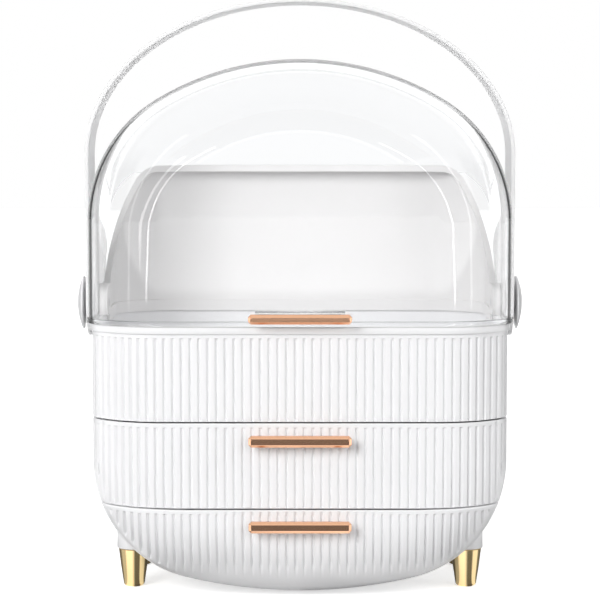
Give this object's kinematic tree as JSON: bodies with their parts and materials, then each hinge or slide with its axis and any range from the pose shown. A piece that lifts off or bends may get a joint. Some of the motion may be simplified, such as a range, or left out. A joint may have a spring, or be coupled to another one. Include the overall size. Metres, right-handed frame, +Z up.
{
  "type": "makeup organizer",
  "caption": "Reeded cosmetics organizer with a clear swing-back lid, open compartment, drawers in a rounded bowl base, carrying strap and short feet.",
  "frame": {"origin": "on the floor, in the middle of the whole object in plan", "axes": "+X to the viewer's right, -Y to the front, +Z up"},
  "size_m": [0.323, 0.2178, 0.4187],
  "materials": {
    "white_body": "gloss",
    "white_strap": "satin",
    "clear_lid": "clear",
    "rose_gold": "polished",
    "gold": "polished",
    "steel": "satin"
  },
  "bodies": {
    "housing": {"upper_tray": "white_body", "tray_screws": "steel", "drawer_bay": "white_body", "middle_shelf": "white_body", "shelf_screws": "steel", "upper_rails": "white_body", "lower_rails": "white_body", "rear_wall": "white_body", "pivot_pins": "steel", "spacer_washers": "white_strap", "pivot_knobs": "white_strap", "gold_feet": "gold", "foot_studs": "steel"},
    "lid": {"lid_dome": "clear_lid", "lid_bar": "rose_gold", "lid_bar_screws": "steel"},
    "strap": {"carry_strap": "white_strap"},
    "upper_drawer": {"upper_drawer_front": "white_body", "upper_drawer_tray": "white_body", "upper_drawer_bar": "rose_gold", "upper_bar_screws": "steel"},
    "lower_drawer": {"lower_drawer_front": "white_body", "lower_drawer_tray": "white_body", "lower_drawer_bar": "rose_gold", "lower_bar_screws": "steel"}
  },
  "joints": [
    {"name": "lid_hinge", "type": "hinge", "parent": "housing", "child": "lid", "pos_m": [0, 0.006, 0.2006], "axis": [-1, 0, 0], "range_deg": [0, 75]},
    {"name": "strap_hinge", "type": "hinge", "parent": "housing", "child": "strap", "pos_m": [0, 0.006, 0.2006], "axis": [-1, 0, 0], "range_deg": [-95, 95]},
    {"name": "upper_drawer_slide", "type": "slide", "parent": "housing", "child": "upper_drawer", "axis": [0, -1, 0], "range_m": [0, 0.1]},
    {"name": "lower_drawer_slide", "type": "slide", "parent": "housing", "child": "lower_drawer", "axis": [0, -1, 0], "range_m": [0, 0.1]}
  ]
}
